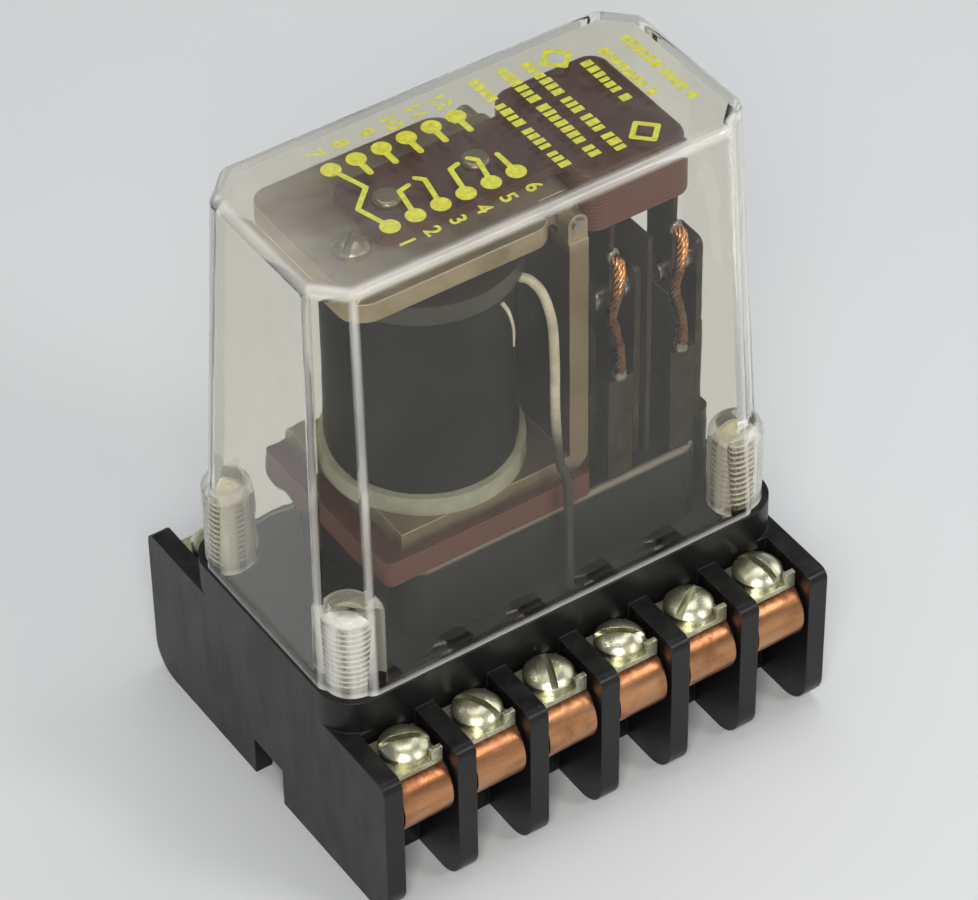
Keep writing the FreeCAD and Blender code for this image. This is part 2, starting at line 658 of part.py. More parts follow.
save("pedestal", make_pedestal())
pedestal_screws = []
for x in PEDESTAL_SCREWS_X:
    pedestal_screws.append(screw(x, 0, POCKET_TOP, PLATFORM + 7.5, SCREW_R, 2.6, 1.8, 50, up=-1))
save("pedestal_screws", *pedestal_screws)
insulator = slab((-20.5, UPRIGHT[1]), (-PEDESTAL_Y, PEDESTAL_Y), (PEDESTAL_TOP, LEG_Z), 1.0)
save("pedestal_insulator", insulator.cut(rod(CORE_HOLE, (COIL_X, 0, 30), (COIL_X, 0, 40))))
save("yoke", make_yoke())
save("yoke_insulator", box((UPRIGHT[1] + 0.2, UPRIGHT[1] + 0.7), (-9.6, 9.6), (PEDESTAL_TOP, 68.0)))
save("hinge_pin", make_pin())
core = rod(CORE_R, (COIL_X, 0, COIL_LOW), (COIL_X, 0, core_top()))
save("core", core.cut(rod(CORE_HOLE, (COIL_X, 0, 30), (COIL_X, 0, COIL_LOW + 10))))
save("core_screw", screw(COIL_X, 0, PLATFORM + 3.2, COIL_LOW + 9.5, 1.95, 3.4, 2.4, 10, up=-1))
save("bobbin", make_bobbin())
save("coil_winding", ring(6.65, TAPE_R - 0.5, COIL_LOW + FLANGE, COIL_HIGH - FLANGE))
save("coil_tape", ring(TAPE_R - 0.5, TAPE_R, COIL_LOW + FLANGE, COIL_HIGH - FLANGE))
for side, sign in SIDES.items():
    save("coil_lead_" + side, make_lead(sign))

save("armature", make_armature())
save("stop_screw", screw(*STOP, ARMATURE_Z[1], ARMATURE_Z[0] - 0.4, STOP_R, 2.1, 1.3, 40))
save("contact_carrier", make_carrier())
save("carrier_rivets", *make_rivets())
buttons_moving, buttons_fixed, braids = [], [], []
for (side, pole), kinds in POLES.items():
    sign = SIDES[side]
    blade_x = BLADES_X[pole]
    tag = "%s_%d" % (side, pole + 1)
    save("moving_blade_" + tag, make_blade(blade_x, sign))
    save("braid_post_" + tag, make_post(blade_x, side))
    buttons_moving.append(make_moving_button(blade_x, sign))
    braids.append(make_braid(blade_x, sign))
    for kind in kinds:
        save("fixed_arm_%s_%s" % (tag, kind), make_arm(blade_x, kind, side))
        buttons_fixed.append(make_fixed_button(blade_x, kind, side))
save("moving_contacts", *buttons_moving)
save("fixed_contacts", *buttons_fixed)
save("copper_braids", *braids)
for number, barrier in enumerate(BARRIERS, start=1):
    save("contact_barrier_%d" % number, make_barrier(*barrier))
save("return_spring", make_spring(), *make_spring_hooks())
save("spring_anchor", box((SPRING_X - 0.4, SPRING_X + 0.4), (-1.5, 1.5), (30.2, 48.55)))
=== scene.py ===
import math

import bpy
from mathutils import Matrix, Vector, noise


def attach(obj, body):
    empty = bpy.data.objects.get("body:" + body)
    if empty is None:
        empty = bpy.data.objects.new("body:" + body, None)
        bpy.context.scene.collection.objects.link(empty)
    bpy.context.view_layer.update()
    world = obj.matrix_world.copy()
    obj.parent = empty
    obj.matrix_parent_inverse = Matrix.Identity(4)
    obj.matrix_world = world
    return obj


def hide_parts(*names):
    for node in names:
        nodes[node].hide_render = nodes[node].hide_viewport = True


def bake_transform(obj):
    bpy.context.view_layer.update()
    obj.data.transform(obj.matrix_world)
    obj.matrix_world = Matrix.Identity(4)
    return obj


# Plug-in relay: a black base with screw terminals, a clear cover and the works inside.
# The part's own frame, in metres: +X runs along the terminal rows and +Z is up. Small sizes
# are written in millimetres and scaled by MM.

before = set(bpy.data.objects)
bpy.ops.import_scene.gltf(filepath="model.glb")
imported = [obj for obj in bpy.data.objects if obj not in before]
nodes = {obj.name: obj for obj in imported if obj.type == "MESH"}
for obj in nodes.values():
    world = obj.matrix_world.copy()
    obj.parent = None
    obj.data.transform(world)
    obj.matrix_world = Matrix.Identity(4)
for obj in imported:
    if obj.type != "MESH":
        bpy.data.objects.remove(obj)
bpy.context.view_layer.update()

MM = 0.001
COVER_TOP = 79.5
COVER_FOOT = 25.4
BOSS = (25.5, 12.0)  # centre of each corner boss of the cover, in X and Y
BOSS_TOP = 36.9
COIL_X = -8.2


# ---------------------------------------------------------------- materials


class Paint:
    """A material made of shader nodes, in the coordinates of the part."""

    def __init__(self, name):
        self.material = bpy.data.materials.new(name)
        self.material.use_nodes = True
        self.tree = self.material.node_tree
        self.tree.nodes.clear()
        self.output = self.node("OutputMaterial")
        self.coords = self.node("TexCoord").outputs["Object"]
        self.geometry = self.node("NewGeometry")

    def put(self, socket, value):
        if isinstance(value, bpy.types.NodeSocket):
            self.tree.links.new(value, socket)
        elif socket.type == "RGBA" and len(value) == 3:
            socket.default_value = (*value, 1.0)
        else:
            socket.default_value = value

    def node(self, kind, values=None, **settings):
        made = self.tree.nodes.new("ShaderNode" + kind)
        for key, value in settings.items():
            setattr(made, key, value)
        for key, value in (values or {}).items():
            self.put(made.inputs[key], value)
        return made

    def noise(self, scale, detail=4.0, rough=0.5, stretch=(1, 1, 1), warp=0.0):
        at = self.node("Mapping", {"Vector": self.coords, "Scale": stretch}).outputs["Vector"]
        values = {"Vector": at, "Scale": scale, "Detail": detail, "Roughness": rough, "Distortion": warp}
        return self.node("TexNoise", values).outputs["Fac"]

    def wave(self, scale, direction, warp=0.0):
        values = {"Vector": self.coords, "Scale": scale, "Distortion": warp, "Detail": 2.0}
        settings = {"wave_type": "BANDS", "bands_direction": direction, "wave_profile": "SIN"}
        return self.node("TexWave", values, **settings).outputs["Fac"]

    def axis(self, letter, source=None):
        parts = self.node("SeparateXYZ", {"Vector": source or self.coords})
        return parts.outputs[letter]

    def facing(self, letter):
        """The surface normal's share along one axis, from -1 to 1."""
        return self.axis(letter, self.geometry.outputs["Normal"])

    def span(self, value, start, end, low=0.0, high=1.0):
        """The value, mapped so that start gives low and end gives high, and held beyond them."""
        values = {"Value": value, "From Min": start, "From Max": end, "To Min": low, "To Max": high}
        return self.node("MapRange", values).outputs["Result"]

    def sums(self, operation, a, b=0.0):
        made = self.node("Math", operation=operation)
        self.put(made.inputs[0], a)
        self.put(made.inputs[1], b)
        return made.outputs[0]

    def mix(self, factor, a, b):
        made = self.node("Mix", data_type="RGBA", blend_type="MIX")
        self.put(made.inputs[0], factor)
        self.put(made.inputs[6], a)
        self.put(made.inputs[7], b)
        return made.outputs[2]

    def ramp(self, factor, *stops):
        made = self.node("ValToRGB", {"Fac": factor})
        elements = made.color_ramp.elements
        while len(elements) < len(stops):
            elements.new(0.5)
        for element, (place, colour) in zip(elements, stops):
            element.position = place
            element.color = (*colour, 1.0)
        return made.outputs["Color"]

    def soft_edges(self, radius):
        return self.node("Bevel", {"Radius": radius}, samples=4).outputs["Normal"]

    def edges(self, radius):
        """1 on worn edges and 0 on flat faces."""
        made = self.node("VectorMath", operation="DOT_PRODUCT")
        self.put(made.inputs[0], self.soft_edges(radius))
        self.put(made.inputs[1], self.geometry.outputs["Normal"])
        return self.span(made.outputs["Value"], 0.995, 0.90)

    def facing_up(self, low=0.6, high=0.98):
        return self.span(self.facing("Z"), low, high)

    def bump(self, height, depth, normal=None):
        values = {"Height": height, "Distance": depth, "Strength": 1.0}
        if normal is not None:
            values["Normal"] = normal
        return self.node("Bump", values).outputs["Normal"]

    def shader(self, colour, rough, **more):
        values = {"Base Color": colour, "Roughness": rough}
        for key, value in more.items():
            values[key.replace("_", " ")] = value
        return self.node("BsdfPrincipled", values).outputs["BSDF"]

    def done(self, surface):
        self.put(self.output.inputs["Surface"], surface)
        return self.material


def make_phenolic():
    p = Paint("Black phenolic")
    broad = p.noise(140, 5, 0.6)
    grain = p.noise(3200, 3, 0.6)
    smear = p.noise(420, 4, 0.55, (1.0, 1.0, 0.35))
    colour = p.ramp(broad, (0.3, (0.0055, 0.0052, 0.0058)), (0.72, (0.0095, 0.0088, 0.0088)))
    dust = p.sums("MULTIPLY", p.facing_up(), p.span(smear, 0.42, 0.75, 0.0, 0.12))
    colour = p.mix(dust, colour, (0.11, 0.105, 0.095))
    wear = p.sums("MULTIPLY", p.edges(0.00022), p.span(grain, 0.4, 0.62, 0.1, 0.5))
    colour = p.mix(wear, colour, (0.10, 0.095, 0.09))
    # Painted highlight: sloping faces from Z 34.6 mm up are painted lighter, for the shine along the
    # pedestal's rounded top edge.
    turned = p.sums("ABSOLUTE", p.facing("Z"))
    turned = p.sums("MULTIPLY", p.span(turned, 0.35, 0.6), p.span(turned, 0.95, 0.8))
    painted_edge_highlight = p.sums("MULTIPLY", turned, p.span(p.axis("Z"), 34.6 * MM, 35.0 * MM, 0.0, 0.7))
    colour = p.mix(painted_edge_highlight, colour, (0.30, 0.27, 0.22))
    rough = p.span(smear, 0.3, 0.7, 0.30, 0.42)
    height = p.sums("ADD", p.sums("MULTIPLY", grain, 0.03), broad)
    normal = p.bump(height, 0.00005, p.soft_edges(0.00022))
    return p.done(p.shader(colour, rough, Specular_IOR_Level=0.3, Normal=normal))


def make_fibre():
    p = Paint("Dark fibre sheet")
    strand = p.noise(900, 5, 0.7, (1.0, 0.35, 1.0), 0.6)
    colour = p.ramp(strand, (0.3, (0.014, 0.010, 0.008)), (0.7, (0.038, 0.025, 0.019)))
    normal = p.bump(strand, 0.00004, p.soft_edges(0.00012))
    return p.done(p.shader(colour, p.span(strand, 0.3, 0.7, 0.5, 0.68), Normal=normal))


def make_copper():
    p = Paint("Copper strip")
    tarnish = p.noise(230, 6, 0.62, (1, 1, 1), 0.4)
    fine = p.noise(1500, 3, 0.6)
    streak = p.noise(700, 3, 0.6, (0.12, 1.0, 1.0))
    bright = p.ramp(streak, (0.3, (0.43, 0.19, 0.080)), (0.7, (0.60, 0.31, 0.150)))
    colour = p.mix(p.span(tarnish, 0.47, 0.72, 0.0, 0.75), bright, (0.22, 0.085, 0.045))
    # Painted shade: the strip is painted darker towards the bottom, below Z 13.6 mm.
    low = p.span(p.axis("Z"), 13.6 * MM, 11.4 * MM, 0.0, 0.7)
    colour = p.mix(low, colour, (0.19, 0.115, 0.055))
    # Painted reflection: a dark red reflection painted on the strip from Z 16.3 mm up, broken up by fine
    # noise.
    high = p.span(p.axis("Z"), 16.3 * MM, 17.9 * MM)
    painted_dark_reflection = p.sums("MULTIPLY", high, p.span(fine, 0.35, 0.65, 0.5, 0.9))
    colour = p.mix(painted_dark_reflection, colour, (0.14, 0.038, 0.016))
    rough = p.sums("ADD", p.span(streak, 0.3, 0.7, 0.24, 0.36), p.span(tarnish, 0.45, 0.75, 0.0, 0.22))
    normal = p.bump(streak, 0.00002, p.soft_edges(0.00012))
    return p.done(p.shader(colour, rough, Metallic=0.92, Normal=normal))


def make_nickel():
    p = Paint("Dull nickel plate")
    patch = p.noise(420, 5, 0.6)
    fine = p.noise(2600, 3, 0.6)
    colour = p.ramp(patch, (0.3, (0.46, 0.45, 0.29)), (0.62, (0.80, 0.78, 0.58)))
    # Grime and painted shade: faces that do not face up are painted darker, in patches.
    grime_and_shade = p.sums("SUBTRACT", 1.0, p.facing_up(0.1, 0.7))
    grime_and_shade = p.sums("MULTIPLY", grime_and_shade, p.span(fine, 0.35, 0.6, 0.1, 0.45))
    colour = p.mix(grime_and_shade, colour, (0.10, 0.085, 0.05))
    # Painted shade: nickel parts from Z 60 mm up, under the cover's top, are painted darker.
    painted_shade_high = p.span(p.axis("Z"), 60.0 * MM, 70.0 * MM, 0.0, 0.75)
    colour = p.mix(painted_shade_high, colour, (0.20, 0.18, 0.14))
    rough = p.span(patch, 0.3, 0.7, 0.40, 0.22)
    normal = p.bump(fine, 0.00003, p.soft_edges(0.00014))
    return p.done(p.shader(colour, rough, Metallic=0.95, Normal=normal))


def make_zinc():
    p = Paint("Zinc plated steel")
    patch = p.noise(170, 5, 0.6, (1, 1, 1), 0.5)
    brushed = p.noise(1800, 3, 0.6, (0.15, 1.0, 1.0))
    colour = p.ramp(patch, (0.28, (0.27, 0.21, 0.12)), (0.5, (0.41, 0.34, 0.225)), (0.75, (0.52, 0.45, 0.33)))
    # Painted shade: faces that face up are painted darker.
    colour = p.mix(p.sums("MULTIPLY", p.facing_up(0.7, 0.95), 0.7), colour, (0.21, 0.172, 0.128))
    colour = p.mix(p.edges(0.0002), colour, (0.70, 0.64, 0.52))
    # Painted shade: faces turned towards the near or far side are painted darker below Z 72 mm.
    painted_side_shade = p.span(p.sums("ABSOLUTE", p.facing("Y")), 0.7, 0.95)
    painted_side_shade = p.sums("MULTIPLY", painted_side_shade, p.span(p.axis("Z"), 72.0 * MM, 70.0 * MM, 0.0, 0.55))
    colour = p.mix(painted_side_shade, colour, (0.13, 0.10, 0.055))
    # Painted shade and reflection: faces turned towards the coil, at X from 0 up, are painted dark below Z 72
    # mm, as if mirroring the black coil.
    behind = p.span(p.facing("X"), -0.6, -0.95)
    behind = p.sums("MULTIPLY", behind, p.span(p.axis("X"), 0.0, 1.0 * MM))
    behind = p.sums("MULTIPLY", behind, p.span(p.axis("Z"), 72.0 * MM, 70.0 * MM, 0.0, 0.85))
    colour = p.mix(behind, colour, (0.035, 0.028, 0.020))
    rough = p.span(patch, 0.3, 0.7, 0.30, 0.46)
    normal = p.bump(brushed, 0.000015, p.soft_edges(0.0002))
    return p.done(p.shader(colour, rough, Metallic=0.8, Normal=normal))


def make_steel():
    p = Paint("Bare steel")
    patch = p.noise(500, 4, 0.6)
    colour = p.ramp(patch, (0.3, (0.26, 0.25, 0.235)), (0.7, (0.46, 0.45, 0.43)))
    normal = p.bump(patch, 0.00002, p.soft_edges(0.0001))
    return p.done(p.shader(colour, p.span(patch, 0.3, 0.7, 0.28, 0.44), Metallic=0.95, Normal=normal))


def make_maroon():
    p = Paint("Maroon laminate")
    strand = p.noise(1300, 4, 0.65, (1.0, 1.0, 4.0))
    broad = p.noise(150, 4, 0.55)
    layers = p.wave(640, "Z", 1.2)
    side = p.sums("SUBTRACT", 1.0, p.facing_up(0.3, 0.7))
    colour = p.ramp(broad, (0.3, (0.040, 0.011, 0.008)), (0.7, (0.075, 0.020, 0.014)))
    edge_tone = p.ramp(layers, (0.2, (0.10, 0.028, 0.018)), (0.8, (0.17, 0.055, 0.036)))
    colour = p.mix(p.sums("MULTIPLY", side, 0.75), colour, edge_tone)
    colour = p.mix(p.span(strand, 0.55, 0.75, 0.0, 0.35), colour, (0.17, 0.062, 0.042))
    normal = p.bump(strand, 0.00003, p.soft_edges(0.00015))
    return p.done(p.shader(colour, p.span(strand, 0.3, 0.7, 0.34, 0.5), Normal=normal))


def make_bobbin_plastic():
    p = Paint("Bobbin plastic")
    broad = p.noise(260, 4, 0.6)
    colour = p.ramp(broad, (0.3, (0.27, 0.28, 0.22)), (0.7, (0.42, 0.43, 0.35)))
    # Painted shade: the upper flange, from Z 56 mm up under the armature, is painted dark.
    colour = p.mix(p.span(p.axis("Z"), 56.0 * MM, 62.0 * MM), colour, (0.035, 0.033, 0.028))
    normal = p.bump(broad, 0.00003, p.soft_edges(0.0002))
    return p.done(p.shader(colour, p.span(broad, 0.3, 0.7, 0.3, 0.45), Normal=normal))


def make_enamel():
    p = Paint("Enamelled wire")
    turns = p.wave(1400, "Z")
    patch = p.noise(320, 4, 0.6)
    colour = p.ramp(turns, (0.1, (0.10, 0.022, 0.010)), (0.7, (0.42, 0.13, 0.045)))
    colour = p.mix(p.span(patch, 0.5, 0.75, 0.0, 0.4), colour, (0.16, 0.05, 0.02))
    normal = p.bump(turns, 0.00008)
    return p.done(p.shader(colour, 0.3, Metallic=0.35, Coat_Weight=0.5, Normal=normal))


def make_tape():
    p = Paint("Black cloth tape")
    fuzz = p.noise(420, 5, 0.65)
    colour = p.ramp(fuzz, (0.3, (0.0035, 0.0035, 0.0045)), (0.75, (0.011, 0.0105, 0.012)))
    rough = p.span(fuzz, 0.3, 0.7, 0.42, 0.60)
    return p.done(p.shader(colour, rough, Specular_IOR_Level=0.16, Normal=p.bump(fuzz, 0.00003)))


def make_white_wire():
    p = Paint("White insulation")
    dirt = p.noise(380, 5, 0.65)
    colour = p.ramp(dirt, (0.35, (0.66, 0.64, 0.53)), (0.7, (0.42, 0.37, 0.26)))
    sleeve = p.span(p.axis("Z"), 52.0 * MM, 46.0 * MM, 0.0, 0.97)
    colour = p.mix(sleeve, colour, (0.016, 0.014, 0.012))
    return p.done(p.shader(colour, p.span(dirt, 0.3, 0.7, 0.38, 0.55), Normal=p.bump(dirt, 0.00004)))


def make_spring_metal():
    p = Paint("Bronze contact strip")
    stain = p.noise(300, 5, 0.62)
    stops = (0.3, (0.024, 0.018, 0.013)), (0.6, (0.060, 0.045, 0.030)), (0.8, (0.15, 0.11, 0.065))
    colour = p.ramp(stain, *stops)
    normal = p.bump(stain, 0.00002, p.soft_edges(0.0001))
    return p.done(p.shader(colour, p.span(stain, 0.3, 0.7, 0.28, 0.46), Metallic=0.85, Normal=normal))


def make_silver():
    p = Paint("Silver contact")
    stain = p.noise(900, 4, 0.6)
    colour = p.ramp(stain, (0.35, (0.26, 0.24, 0.20)), (0.65, (0.58, 0.56, 0.52)))
    return p.done(p.shader(colour, p.span(stain, 0.3, 0.7, 0.34, 0.22), Metallic=1.0))


def make_braid_copper():
    p = Paint("Braided copper")
    stain = p.noise(700, 4, 0.6)
    colour = p.ramp(stain, (0.3, (0.55, 0.23, 0.09)), (0.62, (0.90, 0.46, 0.20)))
    # Painted shade: the braids are painted dark below Z 64.6 mm, broken up by the stain noise.
    painted_shade_below = p.sums("MULTIPLY", p.span(p.axis("Z"), 64.6 * MM, 62.5 * MM), p.span(stain, 0.3, 0.7, 0.95, 0.75))
    colour = p.mix(painted_shade_below, colour, (0.075, 0.035, 0.020))
    return p.done(p.shader(colour, p.span(stain, 0.3, 0.7, 0.2, 0.34), Metallic=1.0))


def make_solder():
    p = Paint("Solder")
    patch = p.noise(1200, 4, 0.6)
    colour = p.ramp(patch, (0.3, (0.22, 0.21, 0.19)), (0.7, (0.42, 0.40, 0.36)))
    rough = p.span(patch, 0.3, 0.7, 0.2, 0.4)
    return p.done(p.shader(colour, rough, Metallic=0.9, Normal=p.bump(patch, 0.00004)))


def make_ink():
    p = Paint("Lime yellow ink")
    patch = p.noise(1500, 4, 0.65)
    colour = p.ramp(patch, (0.3, (0.48, 0.48, 0.022)), (0.65, (0.74, 0.74, 0.040)))
    return p.done(p.shader(colour, p.span(patch, 0.3, 0.7, 0.5, 0.35)))


TRAPPED_DEPTH = 2.5


def make_clear():
    """Clear plastic with haze, rubbed scratches and painted highlights on its edges. It lets lamps light the
    inside.
    """
    p = Paint("Clear cover")
    broad = p.noise(45, 5, 0.6, (1, 1, 1), 0.8)
    rub = p.noise(900, 4, 0.7, (1.0, 0.06, 0.25), 0.2)
    rub_up = p.noise(1100, 4, 0.7, (0.25, 1.0, 0.07), 0.2)
    ripple = p.noise(75, 2, 0.5)
    height = p.axis("Z")
    inside = p.geometry.outputs["Backfacing"]

    # The clear body, and the pale scatter that stands for haze and wear, and that paints highlights on the
    # edges.
    rough = p.sums("ADD", p.span(broad, 0.35, 0.7, 0.01, 0.05), p.span(rub, 0.62, 0.8, 0.0, 0.12))
    clear = {"Transmission_Weight": 1.0, "IOR": 1.49, "Specular_Tint": (0.34, 0.33, 0.31)}
    glass = p.shader((0.975, 0.955, 0.895), rough, Normal=p.bump(ripple, 0.00016), **clear)
    bloom = p.shader((0.84, 0.82, 0.76), 0.35)
    glow = p.node("BsdfTranslucent", {"Color": (0.90, 0.88, 0.82)}).outputs["BSDF"]
    bloom = p.node("MixShader", {0: inside, 1: bloom, 2: glow}).outputs["Shader"]

    # Haze, thicker on top and towards its left end, and scratches.
    upward = p.facing_up(0.4, 0.9)
    haze = p.sums("MULTIPLY", p.span(broad, 0.40, 0.75, 0.0, 0.04), p.span(upward, 0, 1, 0.4, 1.9))
    cloud = p.sums("MULTIPLY", upward, p.span(p.axis("X"), -8 * MM, -24 * MM, 0.0, 0.15))
    haze = p.sums("ADD", haze, p.sums("MULTIPLY", cloud, p.span(broad, 0.3, 0.7, 0.5, 1.4)))
    scratch = p.span(rub, 0.66, 0.78, 0.0, 0.06)
    scratch_up = p.span(rub_up, 0.67, 0.78, 0.0, 0.05)
    foot = p.span(height, (COVER_FOOT + 0.9) * MM, (COVER_FOOT + 0.2) * MM, 0.0, 0.5)

    # Painted highlights on the edges: upright ones, where the normal turns between two faces, and those round
    # the top, brighter still where seen from inside.
    normal_x, normal_y = p.facing("X"), p.facing("Y")
    square_x = p.sums("MULTIPLY", normal_x, normal_x)
    square_y = p.sums("MULTIPLY", normal_y, normal_y)
    turning = p.sums("MULTIPLY", normal_x, normal_y)
    turning = p.sums("MULTIPLY", turning, p.sums("SUBTRACT", square_x, square_y))
    upright = p.span(p.sums("ABSOLUTE", turning), 0.05, 0.22)
    steep = p.sums("ABSOLUTE", p.facing("Z"))
    shoulder = p.sums("MULTIPLY", p.span(steep, 0.12, 0.4), p.span(steep, 0.985, 0.85))
    rim = p.sums("MULTIPLY", p.sums("MAXIMUM", upright, shoulder), p.span(ripple, 0.3, 0.7, 0.28, 0.52))
    rim = p.sums("MULTIPLY", rim, p.span(inside, 0.0, 1.0, 1.0, 2.2))

    # Cloudy corner bosses, whitened further as a painted highlight for their glare.
    across = p.sums("SUBTRACT", p.sums("ABSOLUTE", p.axis("X")), BOSS[0] * MM)
    along = p.sums("SUBTRACT", p.sums("ABSOLUTE", p.axis("Y")), BOSS[1] * MM)
    away = p.sums("ADD", p.sums("MULTIPLY", across, across), p.sums("MULTIPLY", along, along))
    below = p.span(height, (BOSS_TOP + 0.5) * MM, BOSS_TOP * MM)
    boss = p.sums("MULTIPLY", p.span(away, 13.5e-6, 11.8e-6), below)
    boss = p.sums("MULTIPLY", boss, p.span(rub_up, 0.35, 0.65, 0.04, 0.25))

    amount = p.sums("ADD", p.sums("ADD", haze, foot), p.sums("ADD", scratch, scratch_up))
    amount = p.sums("ADD", amount, p.sums("ADD", rim, boss))
    amount = p.node("Clamp", {"Value": amount}).outputs["Result"]
    dusty = p.node("MixShader", {0: amount, 1: glass, 2: bloom}).outputs["Shader"]

    # Lamps shine straight through, and a ray caught between the walls is let out.
    open_way = p.node("BsdfTransparent", {"Color": (0.88, 0.865, 0.81)}).outputs["BSDF"]
    rays = p.node("LightPath")
    lamp = p.sums("MAXIMUM", rays.outputs["Is Shadow Ray"], rays.outputs["Is Diffuse Ray"])
    trapped = p.sums("GREATER_THAN", rays.outputs["Ray Depth"], TRAPPED_DEPTH)
    through = p.sums("MAXIMUM", lamp, trapped)
    return p.done(p.node("MixShader", {0: through, 1: dusty, 2: open_way}).outputs["Shader"])


LOOKS = {
    "black_phenolic": make_phenolic(),
    "dark_fibre": make_fibre(),
    "copper": make_copper(),
    "nickel_plate": make_nickel(),
    "clear_cover": make_clear(),
    "zinc_plated_steel": make_zinc(),
    "bare_steel": make_steel(),
    "maroon_phenolic": make_maroon(),
    "bobbin_plastic": make_bobbin_plastic(),
    "enamelled_wire": make_enamel(),
    "black_tape": make_tape(),
    "white_wire": make_white_wire(),
    "contact_spring_metal": make_spring_metal(),
    "silver_contact": make_silver(),
}

for node in nodes.values():
    slot = node.data.materials[0].name
    node.data.materials[0] = LOOKS[slot]


# ---------------------------------------------------------------- mesh helpers


class Shape:
    """Vertices in millimetres and faces, gathered into one piece."""

    def __init__(self):
        self.points = []
        self.faces = []

    def add(self, points, faces):
        start = len(self.points)
        self.points += [Vector(p) for p in points]
        self.faces += [tuple(start + i for i in face) for face in faces]

    def piece(self, name, material, slot, smooth=True):
        mesh = bpy.data.meshes.new(name)
        mesh.from_pydata([p * MM for p in self.points], [], self.faces)
        mesh.validate()
        mesh.materials.append(material)
        mesh.polygons.foreach_set("use_smooth", [smooth] * len(mesh.polygons))
        made = bpy.data.objects.new(name, mesh)
        bpy.context.scene.collection.objects.link(made)
        return made


def curve_through(points, per_span):
    """Smooth points through the given ones (Catmull-Rom)."""
    given = [Vector(p) for p in points]
    given = [2 * given[0] - given[1]] + given + [2 * given[-1] - given[-2]]
    result = []
    for a, b, c, d in zip(given, given[1:], given[2:], given[3:]):
        for step in range(per_span):
            t = step / per_span
            result.append(
                0.5
                * (
                    2 * b
                    + (c - a) * t
                    + (2 * a - 5 * b + 4 * c - d) * t**2
                    + (3 * b - a - 3 * c + d) * t**3
                )
            )
    return result + [given[-2]]


def frames_along(path):
    """A side direction at each point of a path, turning as little as it can."""
    tangents = []
    for index in range(len(path)):
        ahead = path[min(index + 1, len(path) - 1)]
        behind = path[max(index - 1, 0)]
        tangents.append((ahead - behind).normalized())
    side = tangents[0].orthogonal().normalized()
    sides = [side]
    for before, after in zip(tangents, tangents[1:]):
        side = before.rotation_difference(after) @ side
        side = (side - after * side.dot(after)).normalized()
        sides.append(side)
    return tangents, sides


def add_tube(shape, path, radius, sides=8):
    """A round tube with closed ends; radius is a number or a function of the share of length."""
    tangents, across = frames_along(path)
    count = len(path)
    points = []
    for index, (point, tangent, side) in enumerate(zip(path, tangents, across)):
        size = radius(index / (count - 1)) if callable(radius) else radius
        other = tangent.cross(side)
        for k in range(sides):
            angle = 2 * math.pi * k / sides
            points.append(point + (side * math.cos(angle) + other * math.sin(angle)) * size)
    faces = []
    for row in range(count - 1):
        for k in range(sides):
            a = row * sides + k
            b = row * sides + (k + 1) % sides
            faces.append((a, b, b + sides, a + sides))
    faces.append(tuple(reversed(range(sides))))
    faces.append(tuple(range((count - 1) * sides, count * sides)))
    shape.add(points, faces)


def add_flat(shape, outline, low, high):
    """A thin flat plate with the given outline, counter-clockwise from above."""
    count = len(outline)
    points = [(x, y, low) for x, y in outline] + [(x, y, high) for x, y in outline]
    faces = [tuple(reversed(range(count))), tuple(range(count, 2 * count))]
    for k in range(count):
        n = (k + 1) % count
        faces.append((k, n, n + count, k + count))
    shape.add(points, faces)


def add_lump(shape, centre, size, seed):
    """A small uneven blob."""
    rings, sectors = 10, 16
    centre = Vector(centre)
    points = []
    for i in range(rings + 1):
        polar = math.pi * i / rings
        for k in range(sectors):
            turn = 2 * math.pi * k / sectors
            ring_r = math.sin(polar)
            way = Vector((ring_r * math.cos(turn), ring_r * math.sin(turn), math.cos(polar)))
            swell = 1 + 0.22 * noise.noise(way * 1.3 + Vector((seed, 0, 0)))
            points.append(centre + Vector((way.x * size[0], way.y * size[1], way.z * size[2])) * swell)
    faces = []
    for i in range(rings):
        for k in range(sectors):
            n = (k + 1) % sectors
            faces.append((i * sectors + k, (i + 1) * sectors + k, (i + 1) * sectors + n, i * sectors + n))
    shape.add(points, faces)


# ---------------------------------------------------------------- printed legend

INK = (COVER_TOP - 0.08, COVER_TOP - 0.04)
# Each mark lies this much higher than the one before, so that none share a face.
INK_STEP = 0.0002
DOTS_X = [-14.9 + 3.12 * i for i in range(6)]
FAR_DOTS_Y = 5.3
NEAR_DOTS_Y = -5.9
DOT_R = 1.12
LINE = 0.6


